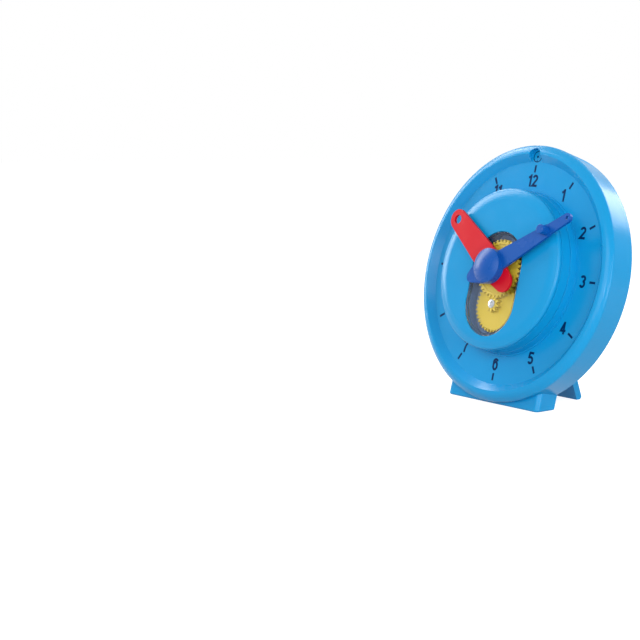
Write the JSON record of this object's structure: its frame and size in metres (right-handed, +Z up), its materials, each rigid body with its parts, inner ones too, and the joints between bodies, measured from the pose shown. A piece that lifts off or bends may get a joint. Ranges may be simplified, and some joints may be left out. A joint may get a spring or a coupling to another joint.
{
  "type": "geared teaching clock",
  "caption": "Round teaching clock that leans back on its own feet, with an hour and a minute hand geared together behind a window in a raised plateau.",
  "frame": {"origin": "centre of the bounding box's bottom, on the table", "axes": "+Z up; the dial faces -Y and leans back 15 degrees towards +Y; +X is the reader's right, at three o'clock"},
  "size_m": [0.3, 0.1198, 0.2936],
  "materials": {
    "case_blue": "satin moulded plastic",
    "clear_lens": "clear moulded plastic",
    "tray_grey": "polished smoke-grey plastic",
    "gear_yellow": "moulded plastic",
    "steel": "zinc-plated steel",
    "hand_red": "moulded plastic",
    "hand_blue": "moulded plastic"
  },
  "bodies": {
    "clock": {"front_case": "case_blue", "back_case": "case_blue", "rear_stand": "case_blue", "window_lens": "clear_lens", "gear_tray": "tray_grey", "idler_axle": "steel", "axle_push_nut": "steel", "case_screws": "steel", "tray_screws": "steel", "stand_screws": "steel"},
    "minute_arbor": {"minute_shaft": "steel", "minute_pinion": "gear_yellow", "minute_hand": "hand_blue", "hand_screw": "steel", "hub_cap": "hand_blue", "finger_knob": "hand_blue", "friction_washer": "steel", "shaft_clip": "steel"},
    "idler": {"idler_gear": "gear_yellow", "idler_pinion": "gear_yellow"},
    "hour_wheel": {"hour_gear": "gear_yellow", "hour_hand": "hand_red"}
  },
  "joints": [
    {"name": "minute_turn", "type": "hinge", "parent": "clock", "child": "minute_arbor", "pos_m": [0, -0.00873, 0.1485], "axis": [0, 0.9659, -0.2588], "continuous": true},
    {"name": "idler_turn", "type": "hinge", "parent": "clock", "child": "idler", "pos_m": [0, -0.01935, 0.1089], "axis": [0, 0.9659, -0.2588], "continuous": true},
    {"name": "hour_turn", "type": "hinge", "parent": "clock", "child": "hour_wheel", "pos_m": [0, -0.00873, 0.1485], "axis": [0, 0.9659, -0.2588], "continuous": true}
  ],
  "couplings": [
    {"joint": "idler_turn", "follows": "minute_turn", "ratio": -0.33333},
    {"joint": "hour_turn", "follows": "minute_turn", "ratio": 0.083333}
  ]
}
